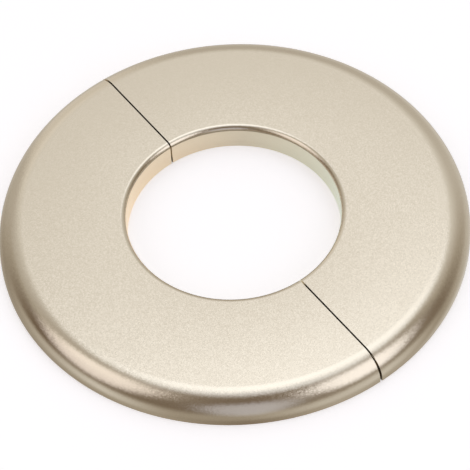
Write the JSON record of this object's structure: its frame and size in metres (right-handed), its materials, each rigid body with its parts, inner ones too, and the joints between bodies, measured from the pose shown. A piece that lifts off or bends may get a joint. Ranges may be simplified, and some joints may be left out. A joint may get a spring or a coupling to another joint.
{
  "type": "radiator pipe collar",
  "caption": "Low split ring with a flat top and rounded rim that closes around a radiator pipe and hides the hole where the pipe leaves the floor or wall.",
  "frame": {"origin": "centre of the ring on the base plane", "axes": "+Z along the pipe, up from the base; +X across the split, from the left half to the right half; +Y along the split line"},
  "size_m": [0.05, 0.05, 0.003],
  "materials": {
    "satin_nickel_plate": "satin"
  },
  "bodies": {
    "left": {"left_half": "satin_nickel_plate"},
    "right": {"right_half": "satin_nickel_plate"}
  },
  "joints": [
    {"name": "halves_part", "type": "slide", "parent": "left", "child": "right", "axis": [1, 0, 0], "range_m": [0, 0.026]}
  ]
}
